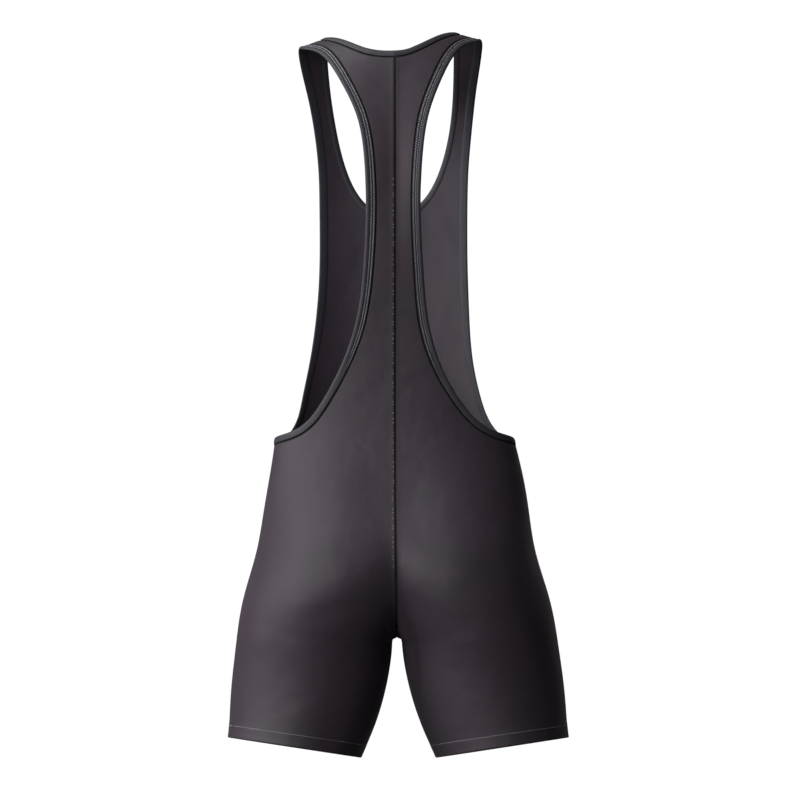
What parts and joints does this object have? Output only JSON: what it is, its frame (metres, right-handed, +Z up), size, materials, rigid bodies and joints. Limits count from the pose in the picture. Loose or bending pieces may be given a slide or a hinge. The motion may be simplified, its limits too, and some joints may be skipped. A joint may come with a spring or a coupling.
{
  "type": "athletics bodysuit",
  "caption": "Sleeveless racerback bodysuit with scooped neck, deep bound armholes, middle back seam and thigh-length legs, held hollow as worn.",
  "frame": {"origin": "midway between the tops of the two shoulder straps, where the wearer's shoulders hold the garment", "axes": "+Z up; the wearer faces -Y, so the back is at +Y; +X is the wearer's left"},
  "size_m": [0.396, 0.2364, 0.8502],
  "materials": {
    "cloth": "smooth matt-satin nylon and elastane knit, charcoal with a slight mauve tint",
    "binding": "folded knit binding with twin-needle stitching, slightly bluer grey"
  },
  "bodies": {
    "root": {"back_left": "cloth", "back_right": "cloth", "front": "cloth", "neck_binding": "binding", "armhole_binding_left": "binding", "armhole_binding_right": "binding"}
  },
  "joints": []
}
